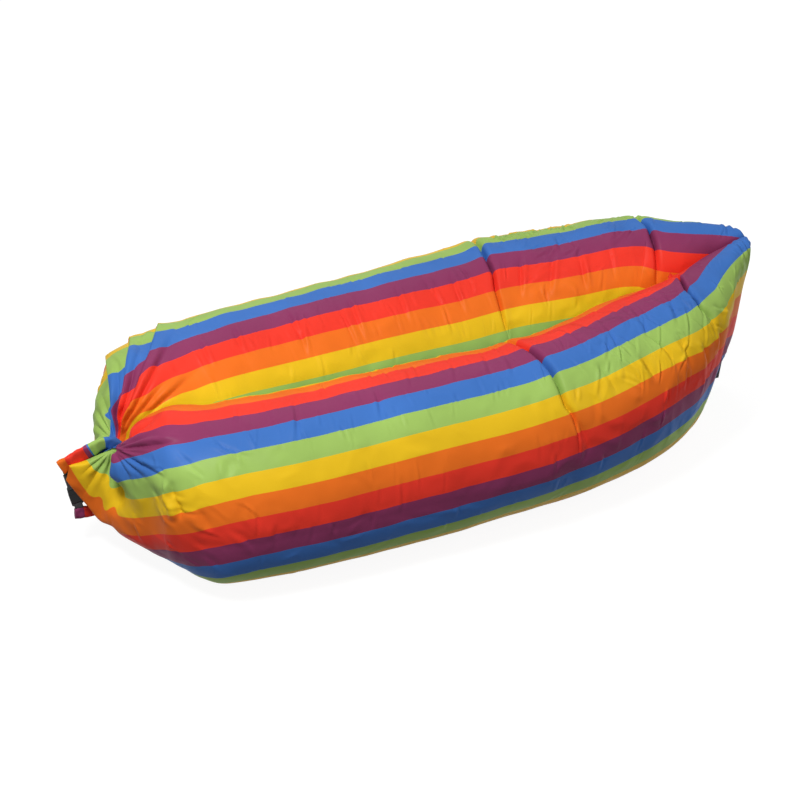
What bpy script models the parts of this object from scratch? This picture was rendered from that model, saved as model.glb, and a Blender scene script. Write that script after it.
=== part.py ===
"""Inflatable air lounger at rest: two air tubes side by side, joined along a seam, pinched flat at the bow
and gathered at the mouth into a rolled closure held in a C by a side release buckle.

Frame: metres, +X from the mouth to the bow, +Y from the near tube to the far one, +Z up from the floor.
The origin is on the floor under the middle of the object.
"""

import bmesh
import bpy
import numpy as np
from mathutils import Matrix, Vector

# Driving dimensions
HALF_LENGTH = 1.015
TUBE_RADIUS = 0.232
COVER_WALL = 0.0012
BAG_WALL = 0.0006
BAG_GAP = 0.0008
PIECE_GAP = 0.0003
TAPE_THICKNESS = 0.001
CENTRE_TAPE_WIDTH = 0.02
BOW_TAPE_WIDTH = 0.03
FIRST_CREASE_DEPTH = 0.012
SECOND_CREASE_DEPTH = 0.018
CREASE_HALF_WIDTH = 0.03
ROLL_WIDTH = 0.044
ROLL_THICKNESS = 0.018
ROLL_FABRIC = 0.0016
STIFFENER_WIDTH = 0.022
STIFFENER_THICKNESS = 0.001
WEBBING_WIDTH = 0.025
WEBBING_THICKNESS = 0.0015
BUCKLE_SIDE = 0.0035
BUCKLE_WIDTH = WEBBING_WIDTH + 2 * BUCKLE_SIDE
BUCKLE_THICKNESS = 0.0095
SOCKET_LENGTH = 0.042
PLUG_LENGTH = 0.024
BUCKLE_REACH = 2 * (SOCKET_LENGTH + PLUG_LENGTH)
BUCKLE_WALL = 0.002
BUCKLE_CORNER = 0.003
THROAT_SIDE = 0.0034
WINDOW_TOP_SHARE = 0.58
BAR_LENGTH = 0.0035
BAR_THICKNESS = 0.004
PRONG_WIDTH = 0.004
PRONG_ROOM = 0.0012
GUIDE_WIDTH = 0.004

# Places of the closure, as shares of the half length (along) and of the tube radius (up)
UPPER_ARM_END_SHARES = (-0.9956, 1.22)
UPPER_ARM_BEND_SHARES = (-0.891, 1.4)
LOWER_ARM_BEND_SHARES = (-0.915, 0.5)
LOWER_ARM_END_SHARES = (-0.975, 0.515)
ROLL_REACH_SHARE = 0.1
BUCKLE_FOOT_SHARES = (-0.9628, 0.636)
BUCKLE_HEAD_SHARES = (-0.9808, 1.13)

# Ends of the seam tape along the middle (shares of the half length), its level and the bow tape's reach
# (shares of the tube radius and of the bow ring's half height)
CENTRE_TAPE_SHARES = (-0.65, 0.88)
CENTRE_TAPE_LEVEL_SHARE = 0.985
BOW_TAPE_REACH_SHARE = 0.94

# Rings of a tube: along (share of the half length), then middle outward, middle up, half width and
# half height (shares of the tube radius), the lean of the ring's top toward the bow (radians), and how
# far the lower outer side bulges (share of the tube radius)
RING_SHARES = (
    (-0.93, 0.062, 1.24, 0.020, 0.25, 0.82, 0.0),
    (-0.86, 0.18, 1.14, 0.16, 0.54, 0.34, 0.0),
    (-0.78, 0.44, 1.09, 0.47, 0.81, 0.10, 0.0),
    (-0.725, 0.60, 1.05, 0.74, 0.92, 0.02, 0.03),
    (-0.68, 0.71, 0.985, 0.90, 0.995, 0.0, 0.15),
    (-0.59, 0.83, 0.985, 1.0, 1.01, 0.0, 0.07),
    (-0.43, 0.92, 0.985, 1.0, 1.015, 0.0, 0.05),
    (-0.09, 0.98, 0.99, 0.995, 1.02, 0.0, 0.03),
    (0.13, 1.05, 0.995, 0.97, 1.03, 0.0, -0.08),
    (0.28, 1.07, 1.02, 0.91, 1.055, 0.05, -0.11),
    (0.51, 0.89, 1.07, 0.87, 1.09, 0.145, -0.05),
    (0.63, 0.80, 1.095, 0.72, 1.12, 0.165, -0.06),
    (0.74, 0.66, 1.11, 0.50, 1.13, 0.15, -0.09),
    (0.84, 0.43, 1.12, 0.38, 1.135, 0.12, -0.10),
    (0.915, 0.22, 1.115, 0.26, 1.12, 0.10, -0.06),
    (0.982, 0.027, 1.08, 0.026, 1.06, 0.09, 0.0),
)
ALONG_SHARES = (
    (-0.93, -0.895, -0.86, -0.82, -0.78, -0.735, -0.68, -0.61, -0.49, -0.35, -0.19, -0.01, 0.13)
    + (0.21, 0.255, 0.28, 0.305, 0.35, 0.43, 0.52, 0.61, 0.67, 0.71, 0.74, 0.77, 0.81, 0.86, 0.91)
    + (0.95, 0.97, 0.982)
)
FIRST_CREASE_SHARE = 0.28
SECOND_CREASE_SHARE = 0.74
ROUND_COUNT = 18
CONTACT_SHARE = 0.03
SLIT_FULL_SHARE = -0.82
SLIT_SHUT_SHARE = -0.73
TURN_FULL_SHARE = 0.75
TURN_NONE_SHARE = 0.91
STADIUM_SHARPNESS = 4.0

# Cosines of the angle from the crown between which a tube's inner side fills out to the middle plane
FILL_COSINES = (0.8, -0.1)

# Roll closure
ROLL_TURNS = 2
ROLL_TURN_COUNT = 10
ROLL_BEND_COUNT = 10

# Points of the arcs at a prong's root and at a webbing fold
ROOT_POINT_COUNT = 7
FOLD_POINT_COUNT = 4

COLOURS = {
    "striped_taffeta": (0.78, 0.10, 0.05, 1.0),
    "bag_film": (0.75, 0.78, 0.80, 1.0),
    "black_binding": (0.02, 0.02, 0.022, 1.0),
    "black_webbing": (0.015, 0.015, 0.017, 1.0),
    "black_acetal": (0.012, 0.012, 0.014, 1.0),
    "stiffener_plastic": (0.55, 0.56, 0.57, 1.0),
}


def material(name):
    """The material of one slot, made on first use."""
    found = bpy.data.materials.get(name)
    if found:
        return found
    made = bpy.data.materials.new(name)
    made.use_nodes = True
    made.node_tree.nodes["Principled BSDF"].inputs["Base Color"].default_value = COLOURS[name]
    return made


def add_mesh(name, points, faces, slot):
    """One node from points and faces, its normals turned outward."""
    mesh = bpy.data.meshes.new(name)
    mesh.from_pydata([tuple(point) for point in points], [], faces)
    shape = bmesh.new()
    shape.from_mesh(mesh)
    bmesh.ops.recalc_face_normals(shape, faces=shape.faces)
    if shape.calc_volume(signed=True) < 0:
        bmesh.ops.reverse_faces(shape, faces=shape.faces)
    shape.to_mesh(mesh)
    shape.free()
    mesh.materials.append(material(slot))
    obj = bpy.data.objects.new(name, mesh)
    bpy.context.collection.objects.link(obj)
    return obj


def smooth_step(low, high, value):
    """0 below low, 1 above high, with a smooth rise between."""
    share = np.clip((value - low) / (high - low), 0, 1)
    return share * share * (3 - 2 * share)


def smooth_through(along, known, values):
    """A curve through the known values that doesn't overshoot between them: cubic pieces whose slopes
    are the harmonic means of the neighbouring slopes, and zero at a turning point."""
    step = np.diff(known)
    slope = np.diff(values) / step
    same_way = slope[:-1] * slope[1:] > 0
    total = np.where(same_way, slope[:-1] + slope[1:], 1)
    inner = np.where(same_way, 2 * slope[:-1] * slope[1:] / total, 0)
    tangent = np.concatenate([slope[:1], inner, slope[-1:]])
    at = np.clip(np.searchsorted(known, along, side="right") - 1, 0, len(step) - 1)
    t = (along - known[at]) / step[at]
    start = values[at] * (1 + 2 * t) * (1 - t) ** 2
    end = values[at + 1] * t * t * (3 - 2 * t)
    leave = step[at] * tangent[at] * t * (1 - t) ** 2
    arrive = step[at] * tangent[at + 1] * t * t * (t - 1)
    return start + end + leave + arrive


def crease_depth(share, angle):
    """How far the fabric is drawn in by the two creases, deepest over the crown and the outer side."""
    width = CREASE_HALF_WIDTH / HALF_LENGTH
    first = np.maximum(0, 1 - np.abs(share - FIRST_CREASE_SHARE) / width)
    second = np.maximum(0, 1 - np.abs(share - SECOND_CREASE_SHARE) / width)
    crown = np.maximum(0, np.cos(angle))
    outside = np.maximum(0, -np.sin(angle))
    return (
        FIRST_CREASE_DEPTH * first * np.minimum(1, crown + outside)
        + SECOND_CREASE_DEPTH * second * crown
    )


def tube_rings(inset):
    """Points of the far tube's rings, one row a ring: an upright stadium with a bulge low on its outer
    side, whose inner side reaches the middle plane, set in by inset, kept off the floor and off the
    other tube."""
    table = np.array(RING_SHARES)
    shares = np.array(ALONG_SHARES)
    out, up, half_width, half_height, lean, bulge = (
        smooth_through(shares, table[:, 0], table[:, column]) for column in range(1, table.shape[1])
    )
    out, up = out * TUBE_RADIUS, up * TUBE_RADIUS
    half_width = half_width * TUBE_RADIUS - inset
    half_height = np.maximum(half_height * TUBE_RADIUS - inset, half_width)
    angle = (np.arange(ROUND_COUNT) + 0.5) * 2 * np.pi / ROUND_COUNT
    drawn_in = crease_depth(shares[:, None], angle[None, :])
    width = half_width[:, None] - drawn_in
    height = half_height[:, None] - drawn_in
    flat = np.tanh(STADIUM_SHARPNESS * np.cos(angle)) / np.tanh(STADIUM_SHARPNESS)
    rise = width * np.cos(angle) + (height - width) * flat
    turn = np.arctan(np.gradient(out, shares * HALF_LENGTH))
    turn = turn * smooth_step(TURN_NONE_SHARE, TURN_FULL_SHARE, shares)
    reach = (1 + CONTACT_SHARE) * out / np.cos(turn) - inset - half_width
    fill = smooth_step(*FILL_COSINES, np.cos(angle))
    toward = (width + np.maximum(reach, 0)[:, None] * fill) * np.sin(angle)
    low_outside = 2 * np.maximum(0, -np.cos(angle)) * np.maximum(0, -np.sin(angle))
    away = width * np.sin(angle) - TUBE_RADIUS * bulge[:, None] * low_outside
    sideways = np.where(np.sin(angle) > 0, toward, away)
    along = shares * HALF_LENGTH
    x = along[:, None] + rise * np.sin(lean)[:, None] + sideways * np.sin(turn)[:, None]
    y = out[:, None] - sideways * np.cos(turn)[:, None]
    z = up[:, None] + rise * np.cos(lean)[:, None]
    slit = smooth_step(SLIT_SHUT_SHARE, SLIT_FULL_SHARE, shares)
    seam_side = TAPE_THICKNESS / 2 + PIECE_GAP
    plane = seam_side + slit * (ROLL_THICKNESS / 2 + PIECE_GAP - seam_side) + inset
    return np.stack([x, np.maximum(y, plane[:, None]), np.maximum(z, inset)], axis=2)


def ring_faces(rings, start, flip):
    """Triangles between neighbouring rings, split the same way on every skin."""
    faces = []
    for ring in range(rings - 1):
        for j in range(ROUND_COUNT):
            a = start + ring * ROUND_COUNT + j
            b = start + ring * ROUND_COUNT + (j + 1) % ROUND_COUNT
            for face in ((a, b, b + ROUND_COUNT), (a, b + ROUND_COUNT, a + ROUND_COUNT)):
                faces.append(face[::-1] if flip else face)
    return faces


def cap_faces(start, flip):
    """Strips straight across a ring, from its side nearest the middle plane to the other."""
    faces = []
    for j in range(ROUND_COUNT // 2):
        left, right = start + j, start + ROUND_COUNT - 1 - j
        face = (left, left + 1, right - 1, right) if right - left > 1 else None
        if face:
            faces.append(face if flip else face[::-1])
    return faces


def add_tube(name, inset, wall, side, slot):
    """A thin hollow tube: an outer skin and an inner one, open at the mouth and closed at the bow."""
    outer = tube_rings(inset)
    inner = tube_rings(inset + wall)
    outer[-1, :, 0] -= inset
    inner[-1, :, 0] -= inset + wall
    count = len(ALONG_SHARES)
    inner_start = count * ROUND_COUNT
    points = np.concatenate([outer.reshape(-1, 3), inner.reshape(-1, 3)])
    points[:, 1] *= side
    faces = ring_faces(count, 0, False) + ring_faces(count, inner_start, True)
    faces += cap_faces(inner_start - ROUND_COUNT, False)
    faces += cap_faces(2 * inner_start - ROUND_COUNT, True)
    for j in range(ROUND_COUNT):
        k = (j + 1) % ROUND_COUNT
        faces.append((k, j, inner_start + j, inner_start + k))
    return add_mesh(name, points, faces, slot)


def add_tubes():
    """The two striped covers and the air bag inside each."""
    bag_inset = COVER_WALL + BAG_GAP
    for word, side in (("near", -1), ("far", 1)):
        add_tube(word + "_cover", 0, COVER_WALL, side, "striped_taffeta")
        add_tube(word + "_air_bag", bag_inset, BAG_WALL, side, "bag_film")


def add_plate(name, outline, thickness, slot, centre):
    """A flat piece: an outline in the X-Z plane made thick along Y, equally both ways."""
    count = len(outline)
    points = [
        (centre[0] + x, side * thickness / 2, centre[1] + z) for side in (-1, 1) for x, z in outline
    ]
    faces = [tuple(range(count)), tuple(range(2 * count - 1, count - 1, -1))]
    for j in range(count):
        k = (j + 1) % count
        faces.append((j, j + count, k + count, k))
    return add_mesh(name, points, faces, slot)


def add_tapes():
    """The seam tape between the tubes and the one between their flattened ends at the bow."""
    first, last = (share * HALF_LENGTH for share in CENTRE_TAPE_SHARES)
    half = CENTRE_TAPE_WIDTH / 2
    level = CENTRE_TAPE_LEVEL_SHARE * TUBE_RADIUS
    outline = ((first, -half), (last, -half), (last, half), (first, half))
    add_plate("centre_seam_tape", outline, TAPE_THICKNESS, "black_binding", (0, level))
    along, _, up, _, half_height, lean, _ = RING_SHARES[-1]
    reach = BOW_TAPE_REACH_SHARE * half_height * TUBE_RADIUS
    tilt = np.tan(lean) * reach
    back = BOW_TAPE_WIDTH
    outline = ((-tilt - back, -reach), (-tilt, -reach), (tilt, reach), (tilt - back, reach))
    foot = (along * HALF_LENGTH, up * TUBE_RADIUS)
    add_plate("bow_seam_tape", outline, TAPE_THICKNESS, "black_binding", foot)


def place(shares):
    """A point of the middle plane from its shares."""
    return np.array([shares[0] * HALF_LENGTH, shares[1] * TUBE_RADIUS])


def roll_path():
    """The closure's centre line in the middle plane: a straight arm, a bend and a straight arm back."""
    top_end, top_bend = place(UPPER_ARM_END_SHARES), place(UPPER_ARM_BEND_SHARES)
    low_bend, low_end = place(LOWER_ARM_BEND_SHARES), place(LOWER_ARM_END_SHARES)
    reach = ROLL_REACH_SHARE * HALF_LENGTH
    pull_top = top_bend + reach * unit(top_bend - top_end)
    pull_low = low_bend + reach * unit(low_bend - low_end)
    t = np.linspace(0, 1, ROLL_BEND_COUNT + 1)[:, None]
    bend = (
        top_bend * (1 - t) ** 3
        + 3 * pull_top * t * (1 - t) ** 2
        + 3 * pull_low * t**2 * (1 - t)
        + low_bend * t**3
    )
    return np.concatenate([[top_end], bend, [low_end]])


def unit(vector):
    """The vector made one long."""
    return vector / np.linalg.norm(vector)


def sweep(name, path, section, slot):
    """A section swept along a path in the middle plane: its first coordinate lies in the plane, square
    to the path, and its second along Y. The ends are closed by strips."""
    ahead = np.gradient(path, axis=0)
    ahead /= np.linalg.norm(ahead, axis=1)[:, None]
    square = np.stack([-ahead[:, 1], ahead[:, 0]], axis=1)
    count = len(section)
    flat = path[:, None, :] + section[None, :, :1] * square[:, None, :]
    y = np.broadcast_to(section[None, :, 1], (len(path), count))
    points = np.stack([flat[..., 0], y, flat[..., 1]], axis=2).reshape(-1, 3)
    faces = []
    for ring in range(len(path) - 1):
        for j in range(count):
            a = ring * count + j
            b = ring * count + (j + 1) % count
            faces.append((a, b, b + count, a + count))
    for start in (0, (len(path) - 1) * count):
        for j in range(count // 2 - 1):
            faces.append((start + j, start + j + 1, start + count - 2 - j, start + count - 1 - j))
    return add_mesh(name, points, faces, slot)


def roll_section():
    """The closure's section: a flattened spiral of fabric, centred and brought to its width and thickness,
    with the level at which the stiffener lies under its innermost turn."""
    count = ROLL_TURNS * ROLL_TURN_COUNT
    angle = np.linspace(0, 2 * np.pi * ROLL_TURNS, count + 1)
    inner = STIFFENER_THICKNESS / 2 + PIECE_GAP + ROLL_FABRIC / 2
    outer = ROLL_THICKNESS / 2 - ROLL_FABRIC / 2
    height = inner + (outer - inner) * angle / angle[-1]
    core = ROLL_WIDTH / 2 - ROLL_THICKNESS / 2
    spread = core * np.tanh(STADIUM_SHARPNESS * np.cos(angle)) / np.tanh(STADIUM_SHARPNESS)
    sides = []
    for edge in (ROLL_FABRIC / 2, -ROLL_FABRIC / 2):
        radius = height + edge
        sides.append(np.stack([spread + radius * np.cos(angle), radius * np.sin(angle)], axis=1))
    section = np.concatenate([sides[0], sides[1][::-1]])
    low, high = section.min(axis=0), section.max(axis=0)
    size = np.array([ROLL_WIDTH, ROLL_THICKNESS])
    fitted = (section - (low + high) / 2) * size / (high - low)
    inner_face = fitted[count + 1 :][::-1]
    first_turn = inner_face[2 : ROLL_TURN_COUNT // 2, 1]
    return fitted, first_turn.min() - PIECE_GAP - STIFFENER_THICKNESS / 2


def add_roll():
    """The mouth rolled on itself, with a stiffener under the innermost turn of each arm."""
    section, level = roll_section()
    path = roll_path()
    sweep("mouth_roll", path, section, "striped_taffeta")
    half, thick = STIFFENER_WIDTH / 2, STIFFENER_THICKNESS / 2
    low, high = level - thick, level + thick
    strip = np.array([(-half, low), (half, low), (half, high), (-half, high)])
    middle = len(path) // 2
    sweep("upper_stiffener", path[:middle], strip, "stiffener_plastic")
    sweep("lower_stiffener", path[middle:], strip, "stiffener_plastic")


def buckle_frame():
    """Turns the buckle's own axes into the world: across the width, up toward the plug, and thickness."""
    foot, head = place(BUCKLE_FOOT_SHARES), place(BUCKLE_HEAD_SHARES)
    up = unit(head - foot)
    across = Vector((up[1], 0, -up[0]))
    turn = Matrix((across, Vector((up[0], 0, up[1])), Vector((0, -1, 0)))).transposed()
    return Matrix.Translation((foot[0], 0, foot[1])) @ turn.to_4x4()


def buckle_piece(name, outline, low, high, slot, pivot=(0, 0)):
    """A flat piece of the buckle from an outline (across, up), between two levels of thickness, with its
    origin at the pivot."""
    count = len(outline)
    points = [(x - pivot[0], y - pivot[1], z) for z in (low, high) for x, y in outline]
    faces = [tuple(range(count - 1, -1, -1)), tuple(range(count, 2 * count))]
    for j in range(count):
        k = (j + 1) % count
        faces.append((j, k, k + count, j + count))
    obj = add_mesh(name, points, faces, slot)
    obj.matrix_world = buckle_frame() @ Matrix.Translation((pivot[0], pivot[1], 0))
    return obj


def block(x0, x1, y0, y1):
    """The outline of a rectangle."""
    return ((x0, y0), (x1, y0), (x1, y1), (x0, y1))


def combine(obj, other, operation):
    """Cuts, keeps or joins another shape by a Boolean that stays live."""
    other.hide_render = True
    other.display_type = "WIRE"
    change = obj.modifiers.new(operation.lower(), "BOOLEAN")
    change.operation = operation
    change.object = other
    change.solver = "EXACT"


def edge_on(name, profile, width, slot="black_acetal"):
    """A piece made thick across the buckle from a side profile (up, thickness)."""
    count = len(profile)
    points = [(x, u, n) for x in (-width / 2, width / 2) for u, n in profile]
    faces = [tuple(range(count)), tuple(range(2 * count - 1, count - 1, -1))]
    for j in range(count):
        k = (j + 1) % count
        faces.append((j, j + count, k + count, k))
    obj = add_mesh(name, points, faces, slot)
    obj.matrix_world = buckle_frame()
    return obj


SLOT_HEIGHT = BAR_LENGTH + 2 * WEBBING_THICKNESS
SLOT_HALF = WEBBING_WIDTH / 2 + 2 * PIECE_GAP
THROAT_HALF = BUCKLE_WIDTH / 2 - THROAT_SIDE
THROAT_LEVEL = BUCKLE_THICKNESS / 2 - BUCKLE_WALL
SHOULDER_LEVEL = SLOT_HEIGHT + 3 * BUCKLE_WALL
THROAT_FLOOR = SHOULDER_LEVEL
WINDOW_FLOOR = THROAT_FLOOR + BUCKLE_WALL / 2
WINDOW_TOP = WINDOW_TOP_SHARE * SOCKET_LENGTH
PLUG_FOOT = SOCKET_LENGTH + PIECE_GAP
PLUG_TOP = PLUG_FOOT + PLUG_LENGTH
PRONG_ROOT = PLUG_FOOT + PRONG_WIDTH
PRONG_TIP = THROAT_FLOOR + PRONG_ROOM
PRONG_OUTSIDE = THROAT_HALF - PIECE_GAP
PRONG_CENTRE = PRONG_OUTSIDE - PRONG_WIDTH / 2


def add_socket():
    """The buckle's socket: a flat box with a throat, a thumb window in each side and a webbing bar."""
    half, corner = BUCKLE_WIDTH / 2, BUCKLE_CORNER
    outline = (
        (-half + corner, 0),
        (half - corner, 0),
        (half, corner),
        (half, SOCKET_LENGTH - corner / 2),
        (half - corner / 2, SOCKET_LENGTH),
        (-half + corner / 2, SOCKET_LENGTH),
        (-half, SOCKET_LENGTH - corner / 2),
        (-half, corner),
    )
    level, thin, long = BUCKLE_THICKNESS / 2, BAR_THICKNESS / 2, BUCKLE_REACH
    socket = buckle_piece("buckle_socket", outline, -long, long, "black_acetal")
    side = (
        (-long, -thin),
        (SLOT_HEIGHT, -thin),
        (SHOULDER_LEVEL, -level),
        (long, -level),
        (long, level),
        (SHOULDER_LEVEL, level),
        (SLOT_HEIGHT, thin),
        (-long, thin),
    )
    combine(socket, edge_on("socket_side", side, long), "INTERSECT")
    throat = block(-THROAT_HALF, THROAT_HALF, THROAT_FLOOR, long)
    combine(socket, helper("socket_throat", throat, THROAT_LEVEL), "DIFFERENCE")
    window = block(-long, long, WINDOW_FLOOR, WINDOW_TOP)
    combine(socket, helper("socket_window", window, THROAT_LEVEL), "DIFFERENCE")
    slot = block(-SLOT_HALF, SLOT_HALF, BAR_LENGTH, SLOT_HEIGHT)
    combine(socket, helper("socket_slot", slot, long), "DIFFERENCE")


def helper(name, outline, level):
    """A cutter of the buckle, equally thick both ways."""
    return buckle_piece(name, outline, -level, level, "black_acetal")


def add_plug():
    """The buckle's plug: a grip block with a webbing bar, a guide tongue and two notches for the prongs."""
    half, corner = BUCKLE_WIDTH / 2 - PIECE_GAP, BUCKLE_CORNER
    outline = (
        (-half + corner / 2, PLUG_FOOT),
        (half - corner / 2, PLUG_FOOT),
        (half, PLUG_FOOT + corner),
        (half - corner / 2, PLUG_TOP - corner),
        (half - corner, PLUG_TOP),
        (-half + corner, PLUG_TOP),
        (-half + corner / 2, PLUG_TOP - corner),
        (-half, PLUG_FOOT + corner),
    )
    level, thin, long = BUCKLE_THICKNESS / 2, BAR_THICKNESS / 2, BUCKLE_REACH
    slot_top = PLUG_TOP - BAR_LENGTH
    slot_foot = slot_top - 2 * WEBBING_THICKNESS
    plug = buckle_piece("buckle_plug", outline, -long, long, "black_acetal")
    side = (
        (-long, -level),
        (slot_foot - 2 * BUCKLE_WALL, -level),
        (slot_foot, -thin),
        (long, -thin),
        (long, thin),
        (slot_foot, thin),
        (slot_foot - 2 * BUCKLE_WALL, level),
        (-long, level),
    )
    combine(plug, edge_on("plug_side", side, long), "INTERSECT")
    notch_half = PRONG_WIDTH / 2 + PIECE_GAP
    notch_level = THROAT_LEVEL
    for word, way in (("left", -1), ("right", 1)):
        inside, outside = PRONG_CENTRE - notch_half - PRONG_ROOM, PRONG_CENTRE + notch_half
        low, high = sorted((way * inside, way * outside))
        notch = block(low, high, 0, PRONG_ROOT + notch_half)
        combine(plug, helper(word + "_notch", notch, notch_level), "DIFFERENCE")
    guide_half = GUIDE_WIDTH / 2
    guide_foot = THROAT_FLOOR + 2 * BUCKLE_WALL
    guide = block(-guide_half, guide_half, guide_foot, PLUG_FOOT + BUCKLE_WALL)
    combine(plug, helper("plug_guide", guide, THROAT_LEVEL - PIECE_GAP), "UNION")
    slot = block(-SLOT_HALF + BUCKLE_WALL / 2, SLOT_HALF - BUCKLE_WALL / 2, slot_foot, slot_top)
    combine(plug, helper("plug_slot", slot, long), "DIFFERENCE")


def add_prongs():
    """The two sprung prongs: a leg with a round root and a thumb pad that catches in the window."""
    half = PRONG_WIDTH / 2
    pad_out = BUCKLE_WIDTH / 2 - PIECE_GAP
    catch = WINDOW_TOP - PIECE_GAP
    pad_foot = WINDOW_FLOOR + PRONG_ROOM + PIECE_GAP
    root = [
        (PRONG_CENTRE + half * np.cos(a), PRONG_ROOT + half * np.sin(a))
        for a in np.linspace(0, np.pi, ROOT_POINT_COUNT)
    ]
    outline = root + [
        (PRONG_CENTRE - half, PRONG_TIP + half),
        (PRONG_CENTRE, PRONG_TIP),
        (PRONG_OUTSIDE, PRONG_TIP),
        (PRONG_OUTSIDE, pad_foot),
        (pad_out - half / 2, pad_foot),
        (pad_out, pad_foot + half),
        (pad_out, catch),
        (PRONG_OUTSIDE, catch),
    ]
    level = THROAT_LEVEL - PIECE_GAP
    for word, way in (("left", -1), ("right", 1)):
        turned = [(way * x, y) for x, y in outline]
        pivot = (way * PRONG_CENTRE, PRONG_ROOT)
        buckle_piece(word + "_prong", turned, -level, level, "black_acetal", pivot)


def loop_profile(apex, far, way):
    """A webbing loop seen edge on: out along one face, folded round the bar and back along the other."""
    inner = BAR_THICKNESS / 2 + PIECE_GAP
    thick = WEBBING_THICKNESS
    fold = apex - way * thick
    quarter = np.linspace(0, np.pi / 2, FOLD_POINT_COUNT)
    low = [(fold + way * thick * np.sin(a), -inner - thick * np.cos(a)) for a in quarter]
    high = [(fold + way * thick * np.cos(a), inner + thick * np.sin(a)) for a in quarter]
    legs = [(far, inner + thick), (far, inner), (fold, inner), (fold, -inner), (far, -inner)]
    return [(far, -inner - thick)] + low + high + legs


def add_webbing():
    """A short webbing loop on each half of the buckle, running to the arm of the closure it is sewn to."""
    width = WEBBING_WIDTH - BUCKLE_WALL
    foot, head = place(BUCKLE_FOOT_SHARES), place(BUCKLE_HEAD_SHARES)
    line = unit(head - foot)
    facet_drop = (BAR_THICKNESS / 2 + PIECE_GAP) * np.tan(np.pi / ROLL_TURN_COUNT)
    edge = ROLL_WIDTH / 2 + PIECE_GAP - facet_drop
    ends = []
    for arm_end, arm_bend in (
        (place(UPPER_ARM_END_SHARES), place(UPPER_ARM_BEND_SHARES)),
        (place(LOWER_ARM_END_SHARES), place(LOWER_ARM_BEND_SHARES)),
    ):
        arm = unit(arm_bend - arm_end)
        square = np.array([-arm[1], arm[0]])
        ahead, across = np.dot(line, square), abs(np.dot(line, arm))
        reach = np.dot(arm_end - foot, square) / ahead
        ends.append((reach, (edge + width / 2 * across) / ahead))
    top = ends[0][0] - ends[0][1]
    low = ends[1][0] + ends[1][1]
    plug_apex = PLUG_TOP - BAR_LENGTH - PIECE_GAP - WEBBING_THICKNESS
    socket_apex = BAR_LENGTH + PIECE_GAP + WEBBING_THICKNESS
    edge_on("upper_webbing", loop_profile(plug_apex, top, -1), width, "black_webbing")
    edge_on("lower_webbing", loop_profile(socket_apex, low, 1), width, "black_webbing")


def clear_scene():
    """Removes what the startup scene holds."""
    for obj in list(bpy.data.objects):
        bpy.data.objects.remove(obj)


clear_scene()
add_tubes()
add_tapes()
add_roll()
add_socket()
add_plug()
add_prongs()
add_webbing()
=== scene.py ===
"""Looks of the inflatable air lounger: striped covers with their creases and pleats, the rolled mouth,
webbing, buckle and tapes, on a pale floor. Metres, +X toward the bow, +Y toward the far tube, +Z up."""

import bmesh
import bpy
import numpy as np
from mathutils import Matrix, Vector


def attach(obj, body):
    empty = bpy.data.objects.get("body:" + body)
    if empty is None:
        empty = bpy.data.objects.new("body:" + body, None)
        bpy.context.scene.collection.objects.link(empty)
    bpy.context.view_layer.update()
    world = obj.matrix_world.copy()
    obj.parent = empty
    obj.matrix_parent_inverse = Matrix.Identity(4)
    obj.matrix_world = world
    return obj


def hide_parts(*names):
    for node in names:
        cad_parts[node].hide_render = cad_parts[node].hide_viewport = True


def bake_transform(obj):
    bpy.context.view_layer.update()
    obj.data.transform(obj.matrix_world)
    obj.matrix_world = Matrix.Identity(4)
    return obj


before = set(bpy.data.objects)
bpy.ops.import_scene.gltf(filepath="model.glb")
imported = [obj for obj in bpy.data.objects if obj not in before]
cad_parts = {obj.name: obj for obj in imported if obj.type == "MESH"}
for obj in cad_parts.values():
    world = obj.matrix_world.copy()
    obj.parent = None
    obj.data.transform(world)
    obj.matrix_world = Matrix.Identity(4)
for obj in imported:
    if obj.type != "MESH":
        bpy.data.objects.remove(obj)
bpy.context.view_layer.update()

# Sizes shared with the part's source
HALF_LENGTH = 1.015
TUBE_RADIUS = 0.232
STRIPE_WIDTH = 0.0584
SEAM_SIDE = 0.0008
TAPE_THICKNESS = 0.001
ROLL_WIDTH = 0.044
ROLL_THICKNESS = 0.018
ROLL_FABRIC = 0.0016
WEBBING_WIDTH = 0.023
WEBBING_THICKNESS = 0.0015
RIB_PITCH = 0.0016
PIECE_GAP = 0.0003
MM = 0.001

# Camera: the photograph's frame in pixels, and its angle
PHOTO_SIDE = 800
FOCAL_PIXELS = 2001.3
CENTRE_RIGHT_PIXELS = 28.1
CENTRE_DOWN_PIXELS = 57.4
SENSOR_MM = 36
AZIMUTH = np.radians(-22.5)
ELEVATION = np.radians(38.5)
CAMERA_DISTANCE = 5.733
CAMERA_AIM = (0.03315, 0.0, 0.0)

# Dyed stripes in their order from the outer side to the trough
STRIPE_HEX = ("#EA3B2C", "#EA7022", "#E6BB20", "#9ABB5E", "#3F70BA", "#87365E")
STRIPE_COUNT = len(STRIPE_HEX)
LIFTED_REPEATS = 10

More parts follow.
